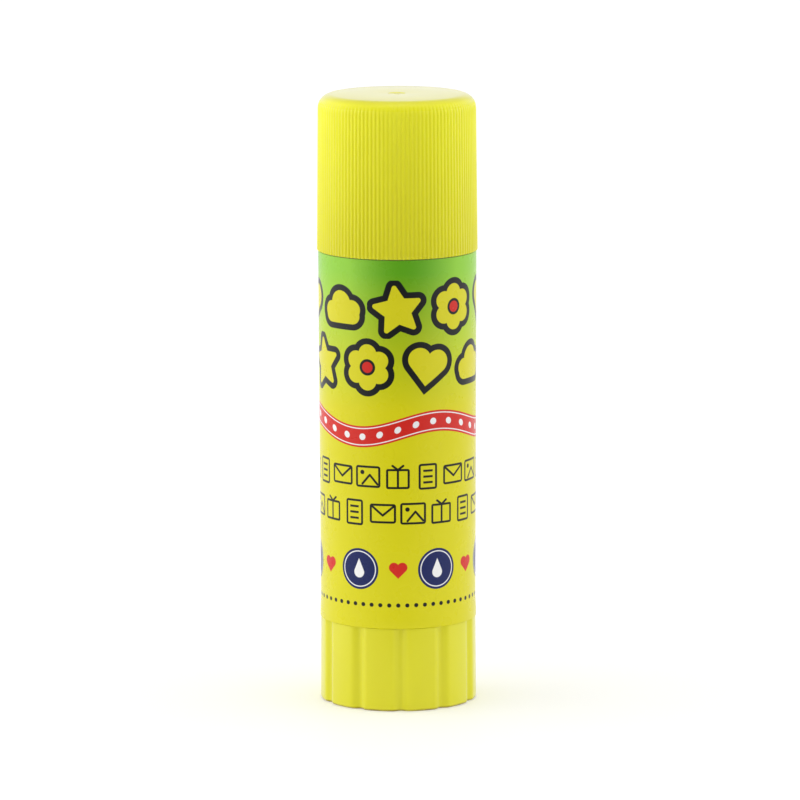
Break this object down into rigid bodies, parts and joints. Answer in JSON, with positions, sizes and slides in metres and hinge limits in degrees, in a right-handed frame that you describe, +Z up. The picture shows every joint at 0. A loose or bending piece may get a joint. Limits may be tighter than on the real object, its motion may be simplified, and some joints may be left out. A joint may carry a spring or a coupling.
{
  "type": "glue stick",
  "caption": "Capped twist-up glue stick with a ribbed cap, printed barrel wrap and fluted turning knob; the knob's screw lifts the glue.",
  "frame": {"origin": "centre of the knob's base, on the surface that the stick stands on", "axes": "+Z up the stick's axis towards the cap, -Y towards the front of the label"},
  "size_m": [0.0302, 0.0302, 0.115],
  "materials": {
    "shell_plastic": "satin lemon-yellow polypropylene",
    "printed_label": "glossy film printed green fading to yellow",
    "feed_plastic": "natural white polypropylene",
    "glue_block": "waxy off-white solid glue"
  },
  "bodies": {
    "barrel": {"barrel": "shell_plastic", "label": "printed_label"},
    "knob": {"knob": "shell_plastic", "spindle": "feed_plastic"},
    "carrier": {"carrier": "feed_plastic", "glue": "glue_block"},
    "cap": {"cap": "shell_plastic"}
  },
  "joints": [
    {"name": "knob_turn", "type": "hinge", "parent": "barrel", "child": "knob", "pos_m": [0, 0, 0], "axis": [0, 0, 1], "range_deg": [0, 5766]},
    {"name": "carrier_lift", "type": "slide", "parent": "barrel", "child": "carrier", "axis": [0, 0, 1], "range_m": [0, 0.064], "deforming": ["glue"]},
    {"name": "cap_lift", "type": "slide", "parent": "barrel", "child": "cap", "axis": [0, 0, 1], "range_m": [0, 0.04]}
  ],
  "couplings": [
    {"joint": "knob_turn", "follows": "carrier_lift", "rad_per_m": 1570.8}
  ]
}
